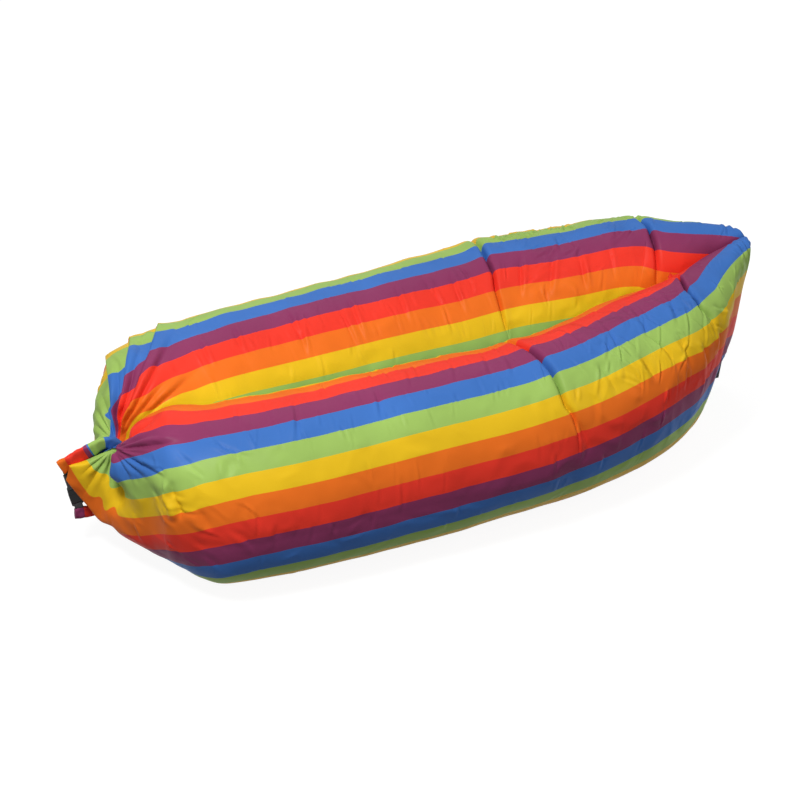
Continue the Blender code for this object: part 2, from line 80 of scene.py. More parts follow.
# Rings of a tube: place on the cloth, then where it lies along (shares of the half length), the ring's
# middle outward and up, its half width, its half height (shares of the tube radius), its lean toward
# the bow (radians) and how far its lower outer side bulges (share of the tube radius)
RING_SHARES = (
    (-1.04, -0.981, 0.062, 1.17, 0.020, 0.10, 0.28, 0.0),
    (-0.98, -0.935, 0.10, 1.02, 0.06, 0.30, 0.20, 0.0),
    (-0.93, -0.892, 0.165, 0.95, 0.125, 0.48, 0.22, -0.01),
    (-0.885, -0.857, 0.27, 1.00, 0.22, 0.57, 0.20, -0.02),
    (-0.85, -0.833, 0.34, 1.06, 0.33, 0.72, 0.15, -0.03),
    (-0.78, -0.78, 0.48, 1.09, 0.52, 0.86, 0.08, -0.02),
    (-0.73, -0.73, 0.59, 1.04, 0.73, 0.965, 0.02, -0.06),
    (-0.70, -0.70, 0.66, 1.015, 0.835, 0.98, 0.0, -0.03),
    (-0.665, -0.665, 0.73, 0.99, 0.915, 0.995, 0.0, 0.04),
    (-0.63, -0.63, 0.785, 0.987, 0.965, 1.003, 0.0, 0.1),
    (-0.59, -0.59, 0.83, 0.985, 1.0, 1.01, 0.0, 0.07),
    (-0.43, -0.43, 0.92, 0.985, 1.0, 1.015, 0.0, 0.055),
    (-0.09, -0.09, 0.98, 0.99, 0.995, 1.02, 0.0, 0.035),
    (0.13, 0.13, 1.05, 0.995, 0.97, 1.03, 0.0, -0.07),
    (0.28, 0.28, 1.07, 1.02, 0.91, 1.055, 0.05, -0.09),
    (0.51, 0.51, 0.89, 1.07, 0.87, 1.09, 0.145, -0.03),
    (0.63, 0.63, 0.80, 1.095, 0.73, 1.12, 0.165, -0.05),
    (0.72, 0.72, 0.69, 1.105, 0.55, 1.13, 0.155, -0.08),
    (0.75, 0.75, 0.62, 1.11, 0.48, 1.13, 0.15, -0.09),
    (0.84, 0.84, 0.405, 1.125, 0.36, 1.13, 0.12, -0.08),
    (0.92, 0.92, 0.215, 1.135, 0.235, 1.125, 0.10, -0.09),
    (0.965, 0.965, 0.11, 1.13, 0.115, 1.12, 0.09, -0.05),
    (0.985, 0.982, 0.045, 1.09, 0.045, 1.065, 0.09, 0.0),
)
MOUTH_SHARE = RING_SHARES[0][0]
BOW_SHARE = RING_SHARES[-1][0]
SLIT_FULL_SHARE = -0.83
SLIT_SHUT_SHARE = -0.79
TURN_FULL_SHARE = 0.75
TURN_NONE_SHARE = 0.91
CONTACT_SHARE = 0.03
# The air bags: where they begin and how much short of the bow they end (shares), and their size in a cover
BAG_FIRST_SHARE = -0.74
BAG_SHORT_SHARE = 0.12
BAG_SCALE = 0.8
STADIUM_SHARPNESS = 4.0
RINGS = 860
ROUND = 300

# Stripes from a tube's crown to the boundary where purple meets red, at places along the tube
PHASE_PLACES = (
    -1.04, -0.98, -0.93, -0.905, -0.885, -0.85, -0.78, -0.695, -0.64, -0.56, -0.16, 0.18, 0.43, 0.62,
    0.72, 0.79, 0.93, 0.985,
)
NEAR_PHASE = (
    4.0, 2.85, 1.55, 0.6, 0.1, -0.4, -0.65, -0.35, -0.1, 0.0, 0.15, 0.36, 0.6, 0.66, 1.02, 1.28, 1.5, 1.6,
)
FAR_PHASE = (
    1.2, 1.2, 0.9, 0.5, 0.2, 0.3, 0.9, 1.05, 1.1, 1.1, 1.0, 1.32, 1.44, 1.38, 1.43, 1.6, 1.55, 1.5,
)
# Stripes per stripe width of cloth at the same places: under 1 they are drawn wider, over 1 narrower
NEAR_PACE = (
    0.6, 0.65, 0.83, 0.85, 0.92, 0.92, 0.92, 0.94, 0.97, 1.0, 1.0, 1.0, 1.0, 1.0, 1.0, 1.0, 0.85, 0.8,
)
FAR_PACE = (
    0.25, 0.28, 0.3, 0.3, 0.3, 0.35, 0.5, 0.65, 0.8, 0.92, 1.0, 1.0, 1.0, 1.0, 1.0, 1.0, 1.0, 1.0,
)
# The same on the trough side, where the far tube's cloth is drawn together toward the pinch
FAR_INNER_PACE = (
    1.0, 1.4, 2.0, 2.0, 2.0, 1.7, 1.35, 1.18, 1.14, 1.1, 1.0, 1.0, 1.0, 1.0, 1.0, 1.0, 1.0, 1.0,
)
# Low on the near tube's mouth half the stripes run on by this much more, over this stretch of cloth (m)
LOW_SHIFT = 0.4
LOW_SHIFT_ARC = (-0.48, -0.6)
LOW_SHIFT_PLACES = (0.2, -0.1)

# The pinch, where both tubes' inner cloth is gathered, and the way that its fan of folds faces
NEAR_PINCH = (-0.871, -0.010, 0.31)
FAR_PINCH = (-0.855, -0.006, 0.322)
FAN_FACE = (-0.2995, -0.7230, 0.6225)
FAN_RIGHT = (0.9239, -0.3827, 0.0)
# Tucks of the far tube's fan: turn about the pinch (degrees) and cloth hidden in the tuck (stripes)
FAR_TUCKS = ((70, 0.3), (82, 0.6), (96, 0.8))
TUCK_HEIGHT = 0.014
# The fan's folds fade out down the outer side between these lengths of cloth from the crown (m)
FAN_ARC = (-0.6, -0.3)
# Folds that run from the pinch: turn about it (degrees), reach (metres), half width and depth (mm)
NEAR_PINCH_FOLDS = (
    (36, 0.17, 4, 8), (19, 0.12, 4, 7), (6, 0.20, 5, 11), (-8, 0.10, 4, 7), (-20, 0.10, 4, 8),
    (-29, 0.18, 5, 10), (-43, 0.14, 4, 8), (-58, 0.12, 4, 7), (-100, 0.10, 4, 5), (-122, 0.16, 5, 5),
    (-140, 0.12, 4, 5), (-158, 0.12, 4, 4),
)
FAR_PINCH_FOLDS = (
    (62, 0.40, 5, 10), (52, 0.24, 5, 8), (42, 0.34, 6, 9), (31, 0.22, 5, 7), (21, 0.2, 5, 6),
    (12, 0.16, 4, 5), (76, 0.34, 4, 8), (88, 0.26, 4, 8), (108, 0.16, 4, 7), (122, 0.14, 4, 5),
    (140, 0.1, 4, 4),
)
# Creases pressed into the tubes: stripe, place and depth (mm) at points from the outer side inward
NEAR_CREASES = (
    ((-6.4, 0.275, 0), (-5.6, 0.27, 7), (-4.2, 0.263, 15), (-3.5, 0.249, 21), (-2.05, 0.243, 24),
     (-0.5, 0.226, 26), (0.6, 0.208, 24), (2.0, 0.2, 14), (3.2, 0.2, 0)),
    ((-3.5, 0.69, 0), (-2.9, 0.682, 12), (-2.1, 0.668, 20), (-1.2, 0.668, 24), (0.1, 0.712, 24),
     (1.2, 0.75, 14), (2.4, 0.79, 0)),
)
FAR_CREASES = (
    ((-6.0, 0.31, 0), (-4.5, 0.3, 10), (-2.2, 0.293, 22), (-0.9, 0.286, 25), (0.1, 0.284, 22),
     (1.0, 0.275, 18), (2.2, 0.275, 14), (3.6, 0.28, 0)),
    ((-4.5, 0.70, 0), (-3.0, 0.705, 12), (-1.9, 0.714, 20), (-0.8, 0.74, 24), (0.1, 0.757, 20),
     (1.6, 0.773, 12), (2.8, 0.78, 0)),
)
WRINKLE_GAIN = 2.3
# Wrinkles listed one by one: start place and stripe, end place and stripe, half width and depth (mm)
NEAR_WRINKLES = (
    (-0.413, 0.81, -0.45, -2.4, 5, 3.0), (-0.205, 0.2, -0.225, -2.2, 5, 2.6),
    (0.265, -4.1, 0.295, -6.4, 7, 5.0), (-0.707, -2.4, -0.703, -3.4, 6, 3.5),
    (-0.694, -3.4, -0.69, -4.4, 6, 3.5), (-0.605, -2.1, -0.605, -3.1, 6, 3.0),
    (-0.715, -2.6, -0.685, -4.3, 6, 3.5), (-0.66, -3.9, -0.64, -5.2, 7, 3.0),
    (-0.56, 0.9, -0.57, -0.9, 5, 2.0),
    (-0.33, 0.9, -0.345, 0.0, 5, 2.0), (-0.1, 0.8, -0.115, -0.8, 5, 2.2), (0.02, 0.7, 0.0, -1.2, 5, 2.4),
    (0.11, 0.9, 0.09, -1.4, 5, 2.6), (0.16, 0.5, 0.15, -1.6, 5, 2.6), (0.33, 0.9, 0.35, -1.3, 6, 3.4),
    (0.38, 0.7, 0.41, -1.8, 6, 3.6), (0.43, 0.3, 0.40, -2.2, 6, 3.4), (0.47, 0.6, 0.5, -1.4, 6, 3.2),
    (0.52, 0.5, 0.49, -2.4, 6, 3.6), (0.57, 0.4, 0.6, -1.9, 6, 3.6), (0.62, 0.2, 0.58, -2.6, 6, 3.4),
    (0.5, -2.2, 0.56, -4.6, 7, 3.4), (0.56, -2.6, 0.61, -5.0, 7, 3.2), (0.44, -2.6, 0.47, -4.4, 7, 3.0),
    (0.925, 0.1, 0.95, -3.0, 4, 4.0), (0.95, -0.2, 0.97, -4.0, 4, 4.0), (0.90, -0.4, 0.93, -2.6, 5, 3.5),
    (0.34, -2.0, 0.36, -4.2, 7, 3.0), (0.63, -3.2, 0.67, -5.4, 7, 3.0), (0.7, -3.4, 0.72, -5.2, 7, 3.0),
)
FAR_WRINKLES = (
    (-0.3, -1.2, -0.29, 1.6, 5, 2.8), (-0.27, -0.6, -0.3, 2.2, 5, 2.6), (-0.12, -1.3, -0.13, 2.4, 5, 2.8),
    (-0.16, -0.6, -0.15, 2.8, 5, 2.4), (0.52, -0.4, 0.53, 2.2, 6, 3.4), (0.46, -0.6, 0.44, 2.0, 6, 3.2),
    (0.38, -0.8, 0.36, 1.8, 6, 3.2), (0.6, -0.5, 0.62, 2.0, 6, 3.2), (0.66, -0.6, 0.68, 1.6, 6, 3.0),
    (0.02, -1.0, 0.0, 1.8, 5, 2.6), (0.1, -1.2, 0.12, 1.6, 5, 2.6), (0.18, -1.0, 0.17, 2.0, 5, 2.8),
    (-0.45, -1.2, -0.47, 1.2, 5, 2.4), (-0.56, -0.8, -0.57, 1.4, 5, 2.4),
    (0.92, -0.6, 0.95, -3.0, 4, 4.0), (0.95, -1.0, 0.97, -4.0, 4, 4.0),
)
# Small wrinkles keep this share on the taut low side, and slow waves of the cloth this share everywhere
TAUT_SHARE = 0.3
TAUT_ARC = (-0.5, -0.36)
WAVE_SHARE = 0.7
# Relief dies out this near the middle plane, where the tubes press on each other (m)
SEAM_CALM = 0.03


def smooth_step(low, high, value):
    """0 below low, 1 above high, with a smooth rise between."""
    share = np.clip((value - low) / (high - low), 0, 1)
    return share * share * (3 - 2 * share)


def smooth_through(along, known, values):
    """A curve through the known values that doesn't overshoot between them: cubic pieces whose slopes
    are the harmonic means of the neighbouring slopes, and zero at a turning point."""
    known, values = np.asarray(known, float), np.asarray(values, float)
    step = np.diff(known)
    slope = np.diff(values) / step
    same_way = slope[:-1] * slope[1:] > 0
    total = np.where(same_way, slope[:-1] + slope[1:], 1)
    inner = np.where(same_way, 2 * slope[:-1] * slope[1:] / total, 0)
    tangent = np.concatenate([slope[:1], inner, slope[-1:]])
    along = np.clip(along, known[0], known[-1])
    at = np.clip(np.searchsorted(known, along, side="right") - 1, 0, len(step) - 1)
    t = (along - known[at]) / step[at]
    start = values[at] * (1 + 2 * t) * (1 - t) ** 2
    end = values[at + 1] * t * t * (3 - 2 * t)
    leave = step[at] * tangent[at] * t * (1 - t) ** 2
    arrive = step[at] * tangent[at + 1] * t * t * (t - 1)
    return start + end + leave + arrive


def hump(centre, half_width, value):
    """A smooth hump of height 1 at the centre, nearly 0 beyond twice the half width."""
    return np.exp(-(((value - centre) / half_width) ** 2))


def ring_places():
    """Places of the rings on the cloth, closer together at the creases and at both ends."""
    fine = np.linspace(MOUTH_SHARE, BOW_SHARE, 4000)
    dense = 1 + 2.5 * hump(-0.9, 0.16, fine) + 0.6 * smooth_step(0.15, 0.3, fine)
    dense += hump(0.25, 0.05, fine) + hump(0.72, 0.06, fine) + hump(BOW_SHARE, 0.1, fine)
    run = np.concatenate([[0], np.cumsum((dense[1:] + dense[:-1]) / 2)])
    return np.interp(np.linspace(0, run[-1], RINGS), run, fine)


def bare_tube(places, angle, inset):
    """The smooth far tube: each ring is an upright stadium about its middle, leaning with the table, whose
    inner side is filled out to the middle plane."""
    table = np.array(RING_SHARES)
    along, out, up, half_width, half_height, lean, bulge = (
        smooth_through(places, table[:, 0], table[:, column]) for column in range(1, table.shape[1])
    )
    along, out, up, bulge = along * HALF_LENGTH, out * TUBE_RADIUS, up * TUBE_RADIUS, bulge * TUBE_RADIUS
    half_width = half_width * TUBE_RADIUS - inset
    half_height = np.maximum(half_height * TUBE_RADIUS - inset, half_width)
    width, height = half_width[:, None], half_height[:, None]
    flat = np.tanh(STADIUM_SHARPNESS * np.cos(angle)) / np.tanh(STADIUM_SHARPNESS)
    rise = width * np.cos(angle) + (height - width) * flat
    turn = np.arctan(np.gradient(out, along)) * smooth_step(TURN_NONE_SHARE, TURN_FULL_SHARE, places)
    turn = turn[:, None]
    reach = np.maximum((1 + CONTACT_SHARE) * out[:, None] / np.cos(turn) - inset - width, 0)
    fill = smooth_step(0.8, -0.1, np.cos(angle))
    low_outside = 2 * np.maximum(0, -np.cos(angle)) * np.maximum(0, -np.sin(angle))
    sideways = np.where(np.sin(angle) > 0, width + reach * fill, width) * np.sin(angle)
    sideways = sideways - bulge[:, None] * low_outside
    x = along[:, None] + rise * np.sin(lean)[:, None] + sideways * np.sin(turn)
    y = out[:, None] - sideways * np.cos(turn)
    z = up[:, None] + rise * np.cos(lean)[:, None]
    return np.stack([x, y, z], axis=2)


def about_pinch(points, side):
    """Distance from the pinch and turn about it (degrees, 0 toward the bow, 90 up) as the photo's camera
    sees them: every point is moved along its line of sight to the pinch's own depth."""
    right, face = np.array(FAN_RIGHT), np.array(FAN_FACE)
    eye = np.array(CAMERA_AIM) + CAMERA_DISTANCE * face
    sight = points - eye
    to_pinch = np.array(NEAR_PINCH if side < 0 else FAR_PINCH) - eye
    away = sight * (to_pinch @ face / (sight @ face))[..., None] - to_pinch
    across, above = away @ right, away @ np.cross(face, right)
    return np.hypot(across, above), np.degrees(np.arctan2(above, across)) % 360


def fold_line(distance, turn, at, width):
    """How far past a fold a point lies, from 0 before it to 1 behind: the fold runs from the pinch."""
    past = distance * np.sin(np.radians(turn - at))
    return smooth_step(-width, width, past)


def mouth_fold(points, places, angle, strength):
    """Near the mouth the tube's end swells over the gathered neck. On the upper outer side the lip moves
    toward the mouth and out. Behind it the neck's root moves toward the bow and in, down to the low
    outer side, where the lip is drawn a little toward the bow too."""
    level = np.tanh(STADIUM_SHARPNESS * np.cos(angle))
    outer = smooth_step(0.6, -0.4, np.sin(angle))
    reach = strength * smooth_step(-0.75, 0.1, level) * outer
    high = strength * smooth_step(0.1, 0.95, level) * outer
    lip_place = -0.888 + 0.055 * smooth_step(1.0, -0.3, level)
    swell = hump(lip_place, 0.028, places[:, None])
    lip, drawn = swell * high, swell * (reach - high)
    root = hump(lip_place - 0.045, 0.024, places[:, None]) * reach
    points[..., 0] += HALF_LENGTH * (0.034 * root - 0.024 * lip + 0.01 * drawn)
    points[..., 1] += -0.022 * root + 0.014 * lip
    return points


def bow_foot(points, places):
    """The bow's stem curves back where it nears the floor."""
    low = smooth_step(0.24, 0, points[..., 2]) * smooth_step(0.75, 0.98, places)[:, None]
    points[..., 0] -= 0.045 * low
    return points


def outward(points):
    """Unit normals of a grid closed round its second axis, from its own steps along and round."""
    along = np.gradient(points, axis=0)
    wrapped = np.concatenate([points[:, -1:], points, points[:, :1]], axis=1)
    normal = np.cross(along, wrapped[:, 2:] - wrapped[:, :-2])
    normal /= np.maximum(np.linalg.norm(normal, axis=2, keepdims=True), 1e-9)
    middle = points.mean(axis=1, keepdims=True)
    inward = (normal * (points - middle)).sum(axis=2).mean(axis=1) < 0
    normal[inward] *= -1
    return normal


def arc_run(points):
    """Length round each ring from its crown, positive toward the trough, negative on the outer side."""
    closed = np.concatenate([points, points[:, :1]], axis=1)
    step = np.linalg.norm(np.diff(closed, axis=1), axis=2)
    run = np.concatenate([np.zeros((len(points), 1)), np.cumsum(step, axis=1)], axis=1)
    first_half = np.arange(points.shape[1]) < points.shape[1] // 2
    return np.where(first_half, run[:, :-1], run[:, :-1] - run[:, -1:])


def pinch_relief(points, side):
    """Height of the cloth about the pinch: grooves that run out from it, deepest halfway and wider with
    the distance, and on the far tube the tucks, each a plate that rises toward its edge and drops."""
    distance, turn = about_pinch(points, side)
    height = np.zeros(distance.shape)
    for at, reach, half_width, depth in NEAR_PINCH_FOLDS if side < 0 else FAR_PINCH_FOLDS:
        off = (turn - at + 180) % 360 - 180
        past = distance * np.sin(np.radians(off))
        width = half_width * MM * (0.5 + distance / reach)
        fade = smooth_step(0, 0.2, distance / reach) * smooth_step(1, 0.45, distance / reach)
        groove = np.exp(-np.abs(past) / width) - 0.7 * hump(2.4 * width, 1.5 * width, past)
        height -= np.where(np.abs(off) < 80, depth * MM * fade * groove, 0)
    if side > 0:
        for at, _ in FAR_TUCKS:
            off = turn - at
            past = distance * np.sin(np.radians(off))
            plate = np.exp(np.minimum(past, 0) / 0.035) * smooth_step(0.003, -0.003, past)
            fade = smooth_step(0.01, 0.07, distance) * smooth_step(0.5, 0.3, distance)
            height += np.where(np.abs(off) < 80, TUCK_HEIGHT * fade * plate, 0)
    return height


def crease_relief(places, stripe, creases):
    """Height of the cloth at the creases: a sharp groove between two raised shoulders."""
    height = np.zeros(stripe.shape)
    for crease in creases:
        at_stripe, at_place, depth = np.array(crease).T
        off = (places[:, None] - smooth_through(stripe, at_stripe, at_place)) * HALF_LENGTH
        deep = smooth_through(stripe, at_stripe, depth) * MM
        height += deep * (0.4 * hump(0, 0.03, off) - 1.45 * np.exp(-np.abs(off) / 0.005))
    return height


def wrinkle_relief(places, stripe, wrinkles):
    """Height of the cloth at wrinkles: each a groove with a ridge beside it, fading at both ends."""
    height = np.zeros(stripe.shape)
    along = places * HALF_LENGTH
    for from_place, from_stripe, to_place, to_stripe, half_width, depth in wrinkles:
        start = np.array([from_place * HALF_LENGTH, from_stripe * STRIPE_WIDTH])
        run = np.array([to_place * HALF_LENGTH, to_stripe * STRIPE_WIDTH]) - start
        length, width = np.hypot(*run), half_width * MM
        low, high = sorted((start[0], start[0] + run[0]))
        rows = slice(*np.searchsorted(along, (low - 8 * width, high + 8 * width)))
        ahead, across = along[rows, None] - start[0], stripe[rows] * STRIPE_WIDTH - start[1]
        share = (ahead * run[0] + across * run[1]) / length**2
        off = (ahead * run[1] - across * run[0]) / length + 0.1 * length * (share - share**2)
        fade = smooth_step(0, 0.4, share) * smooth_step(1, 0.55, share)
        groove = np.exp(-np.abs(off) / width) - 0.75 * hump(2.1 * width, 1.2 * width, off)
        height[rows] -= WRINKLE_GAIN * depth * MM * fade * groove
    return height


def scattered(chance, count, places, stripes, slants, lengths, half_widths, depths):
    """Wrinkles drawn by chance: where each starts, its slant toward the bow on its way outward (degrees
    from straight across the stripes), its length, half width and depth (mm), each within two limits."""
    place, stripe = chance.uniform(*places, count), chance.uniform(*stripes, count)
    slant, length = np.radians(chance.uniform(*slants, count)), chance.uniform(*lengths, count) * MM
    half_width, depth = chance.uniform(*half_widths, count), chance.uniform(*depths, count)
    to_place = place + np.sin(slant) * length / HALF_LENGTH
    to_stripe = stripe - np.cos(slant) * length / STRIPE_WIDTH
    return np.stack([place, stripe, to_place, to_stripe, half_width, depth], axis=1)


def all_wrinkles(side):
    """A cover's wrinkles: those seen in the photo, and others by chance where such cloth puckers: along
    the crown, down the slack outer side, toward the gathered mouth and toward the bow's tip."""
    chance = np.random.default_rng(11 if side < 0 else 23)
    return np.concatenate([
        np.array(NEAR_WRINKLES if side < 0 else FAR_WRINKLES),
        scattered(chance, 70, (-0.6, 0.24), (-2.0, 1.6), (-14, 14), (30, 90), (2, 4), (-1.4, 1.8)),
        scattered(chance, 90, (0.28, 0.7), (-3.5, 0.2), (-35, 55), (40, 120), (2, 4), (-2.0, 2.6)),
        scattered(chance, 30, (0.3, 0.66), (-1.5, 1.2), (50, 85), (40, 90), (2, 4), (-1.6, 1.8)),
        scattered(chance, 60, (-0.6, 0.7), (-9.0, -3.0), (-10, 10), (40, 120), (3, 6), (-1.4, 1.8)),
        scattered(chance, 50, (-0.84, -0.55), (-7.0, -0.5), (15, 60), (40, 110), (2, 5), (-1.8, 2.2)),
        scattered(chance, 60, (0.72, 0.96), (-9.0, 3.0), (-40, 40), (30, 80), (2, 5), (-1.8, 2.4)),
        scattered(chance, 70, (-0.6, 0.9), (0.5, 3.5), (-12, 12), (40, 100), (2, 5), (-1.4, 2.0)),
    ])


def slack_relief(places, angle):
    """Slow unevenness of the filled cloth: the sum of four waves along and round, a few mm high."""
    along, around = places[:, None] * HALF_LENGTH, angle[None, :]
    waves = 1.6 * np.sin(23 * along + 2 * around) + 1.3 * np.sin(41 * along - 3 * around + 1)
    waves += 1.0 * np.sin(67 * along + 5 * around + 2) + 0.8 * np.sin(15 * along - 7 * around)
    return waves * MM * smooth_step(MOUTH_SHARE, -0.8, places)[:, None]


def cloth_slack(places):
    """How slack the cloth lies along the tube, 0 to 1: least where the air fills it tight, most between
    the two creases and toward the gathered mouth."""
    return 0.3 + 0.5 * hump(0.5, 0.22, places) + 0.4 * smooth_step(-0.6, -0.85, places)


def cover_grid(side):
    """Points and stripe values of one cover: the smooth tube, kept on its side of the middle plane and
    above the floor, moved along its normals by the sum of the reliefs. A stripe value is the cloth's
    length from the crown times the pace, in stripe widths, less the phase."""
    places = ring_places()
    angle = (np.arange(ROUND) + 0.5) * 2 * np.pi / ROUND
    points = mouth_fold(bare_tube(places, angle, 0), places, angle, 1.0 if side < 0 else 0.3)
    points = bow_foot(points, places)
    slit = smooth_step(SLIT_SHUT_SHARE, SLIT_FULL_SHARE, places)
    plane = (SEAM_SIDE + slit * (ROLL_THICKNESS / 2 + PIECE_GAP - SEAM_SIDE))[:, None]
    points[..., 1] = np.maximum(points[..., 1], plane)
    points[..., 2] = np.maximum(points[..., 2], 0)
    arc = arc_run(points)
    phase = smooth_through(places, PHASE_PLACES, NEAR_PHASE if side < 0 else FAR_PHASE)
    pace = smooth_through(places, PHASE_PLACES, NEAR_PACE if side < 0 else FAR_PACE)
    inner_pace = smooth_through(places, PHASE_PLACES, NEAR_PACE if side < 0 else FAR_INNER_PACE)
    pace = np.where(arc > 0, inner_pace[:, None], pace[:, None])
    stripe = arc * pace / STRIPE_WIDTH - phase[:, None]
    mirror = np.array([1, side, 1])
    gathered = smooth_step(*FAN_ARC, arc)
    if side > 0:
        distance, turn = about_pinch(points * mirror, side)
        for at, hidden in FAR_TUCKS:
            behind = fold_line(distance, turn, at, 0.003) * (places < -0.5)[:, None]
            stripe = stripe - hidden * behind * gathered
    # Calm on the crown, and toward the bow on the trough side
    calm = 0.6 * hump(0, 0.05, arc)
    calm += 0.9 * smooth_step(0.55, 0.66, places)[:, None] * smooth_step(0.03, 0.08, arc)
    if side < 0:
        shifted = smooth_step(*LOW_SHIFT_PLACES, places)[:, None]
        stripe = stripe - LOW_SHIFT * smooth_step(*LOW_SHIFT_ARC, arc) * shifted
    tight = TAUT_SHARE + (1 - TAUT_SHARE) * smooth_step(*TAUT_ARC, arc)
    height = wrinkle_relief(places, stripe, all_wrinkles(side)) * (1 - calm) * tight
    height += slack_relief(places, angle) * WAVE_SHARE * tight
    height += crease_relief(places, stripe, NEAR_CREASES if side < 0 else FAR_CREASES)
    height += pinch_relief(points * mirror, side) * gathered
    height *= smooth_step(0, SEAM_CALM, points[..., 1] - plane)
    points = points + outward(points) * height[..., None]
    points[..., 1] = np.maximum(points[..., 1], plane)
    points[..., 2] = np.maximum(points[..., 2], 0)
    return points * mirror, stripe


def linear(hex_colour):
    """An sRGB hex value as linear red, green, blue and one."""
    value = np.array([int(hex_colour[i : i + 2], 16) for i in (1, 3, 5)]) / 255
    made = np.where(value <= 0.04045, value / 12.92, ((value + 0.055) / 1.055) ** 2.4)
    return (*made.tolist(), 1.0)


def add_node(tree, kind, settings=(), **links):
    """Adds one shader node, sets its properties or unlinked sockets, and links what is given by name."""
    node = tree.nodes.new(kind)
    for key, value in dict(settings).items():
        if isinstance(key, str) and hasattr(node, key):
            setattr(node, key, value)
        else:
            node.inputs[key].default_value = value
    for key, source in links.items():
        name = key.replace("_", " ").strip()
        target = node.inputs[int(name[1:])] if name[0] == "i" and name[1:].isdigit() else node.inputs[name]
        tree.links.new(source, target)
    return node


def new_material(name, settings):
    """A material whose shader has these constant settings. Gives the material, its tree and its shader."""
    made = bpy.data.materials.new(name)
    made.use_nodes = True
    shader = made.node_tree.nodes["Principled BSDF"]
    for key, value in settings.items():
        shader.inputs[key].default_value = value
    return made, made.node_tree, shader


def striped_taffeta():
    """Polyester taffeta, plain woven and calendered: a smooth, slightly crisp cloth with a soft shine,
    fine crumple lines and dyed stripes along the tube."""
    made, tree, shader = new_material(
        "striped_polyester_taffeta",
        {"Roughness": 0.5, "Specular IOR Level": 0.05, "Coat Weight": 0.06, "Coat Roughness": 0.35},
    )
    stripe = add_node(tree, "ShaderNodeAttribute", {"attribute_name": "stripe"})
    # The value is lifted by whole repeats, so that it is never negative, then cut to one repeat
    lifted = add_node(
        tree, "ShaderNodeMath", {"operation": "ADD", 1: LIFTED_REPEATS * STRIPE_COUNT},
        i0=stripe.outputs["Fac"],
    )
    within = add_node(
        tree, "ShaderNodeMath", {"operation": "MODULO", 1: STRIPE_COUNT}, i0=lifted.outputs[0]
    )
    share = add_node(
        tree, "ShaderNodeMath", {"operation": "DIVIDE", 1: STRIPE_COUNT}, i0=within.outputs[0]
    )
    ramp = add_node(tree, "ShaderNodeValToRGB", (), Fac=share.outputs[0])
    ramp.color_ramp.interpolation = "CONSTANT"
    stops = ramp.color_ramp.elements
    stops[0].color = linear(STRIPE_HEX[0])
    stops[1].position = 1 / STRIPE_COUNT
    stops[1].color = linear(STRIPE_HEX[1])
    for i in range(2, STRIPE_COUNT):
        stops.new(i / STRIPE_COUNT).color = linear(STRIPE_HEX[i])
    place = add_node(tree, "ShaderNodeTexCoord")
    # The dye lies a little unevenly, in clouds about 150 mm across
    cloud = add_node(
        tree, "ShaderNodeTexNoise", {"Scale": 6.0, "Detail": 3.0}, Vector=place.outputs["Object"]
    )
    tint = add_node(
        tree, "ShaderNodeMapRange", {"To Min": 0.94, "To Max": 1.06, "From Min": 0.3, "From Max": 0.7},
        Value=cloud.outputs["Fac"],
    )
    toned = add_node(
        tree, "ShaderNodeVectorMath", {"operation": "SCALE"}, i0=ramp.outputs["Color"], Scale=tint.outputs[0]
    )
    tree.links.new(toned.outputs[0], shader.inputs["Base Color"])
    # Crumple lines of pressed cloth, about 75 mm apart with finer ones between, strong where it is slack
    crumple = add_node(
        tree, "ShaderNodeTexNoise",
        {
            "noise_type": "RIDGED_MULTIFRACTAL", "Scale": 13.0, "Detail": 3.0, "Roughness": 0.5,
            "Distortion": 0.5,
        },
        Vector=place.outputs["Object"],
    )
    slack = add_node(tree, "ShaderNodeAttribute", {"attribute_name": "slack"})
    crumple_bump = add_node(
        tree, "ShaderNodeBump", {"Distance": 0.02},
        Height=crumple.outputs["Fac"], Strength=slack.outputs["Fac"],
    )
    # Threads 0.2 mm apart are too fine to show, so the weave is drawn 1 mm coarse
    weave = add_node(
        tree, "ShaderNodeTexNoise", {"Scale": 900.0, "Detail": 1.0}, Vector=place.outputs["Object"]
    )
    weave_bump = add_node(
        tree, "ShaderNodeBump", {"Strength": 0.15, "Distance": 0.0002},
        Height=weave.outputs["Fac"], Normal=crumple_bump.outputs["Normal"],
    )
    tree.links.new(weave_bump.outputs["Normal"], shader.inputs["Normal"])
    return made


def two_tone(name, settings, scale, detail, dark, light, bump=None):
    """A plain finish: a fine noise between two shades, which also roughens the surface if bump is given
    as strength and height in metres. Gives the material."""
    made, tree, shader = new_material(name, settings)
    place = add_node(tree, "ShaderNodeTexCoord")
    grain = add_node(
        tree, "ShaderNodeTexNoise", {"Scale": scale, "Detail": detail}, Vector=place.outputs["Object"]
    )
    ramp = add_node(tree, "ShaderNodeValToRGB", (), Fac=grain.outputs["Fac"])
    ramp.color_ramp.elements[0].color = linear(dark)
    ramp.color_ramp.elements[1].color = linear(light)
    tree.links.new(ramp.outputs["Color"], shader.inputs["Base Color"])
    if bump:
        raised = add_node(
            tree, "ShaderNodeBump", {"Strength": bump[0], "Distance": bump[1]}, Height=grain.outputs["Fac"]
        )
        tree.links.new(raised.outputs["Normal"], shader.inputs["Normal"])
    return made


def bag_film():
    """Polyethylene film, blown: milky, thin and slightly glossy. It lies unseen inside the covers."""
    return two_tone("milky_polyethylene_film", {"Roughness": 0.35}, 12.0, 2.0, "#CFD6DA", "#E6EAEC")


def black_acetal():
    """Acetal, injection moulded: near black with a satin gloss and a faint mould texture, whose grains
    are 1.4 mm across, coarser than real ones, so that they show."""
    settings = {"Roughness": 0.22, "Specular IOR Level": 0.22}
    return two_tone("moulded_black_acetal", settings, 700.0, 2.0, "#08080A", "#121215", (0.12, 0.0002))


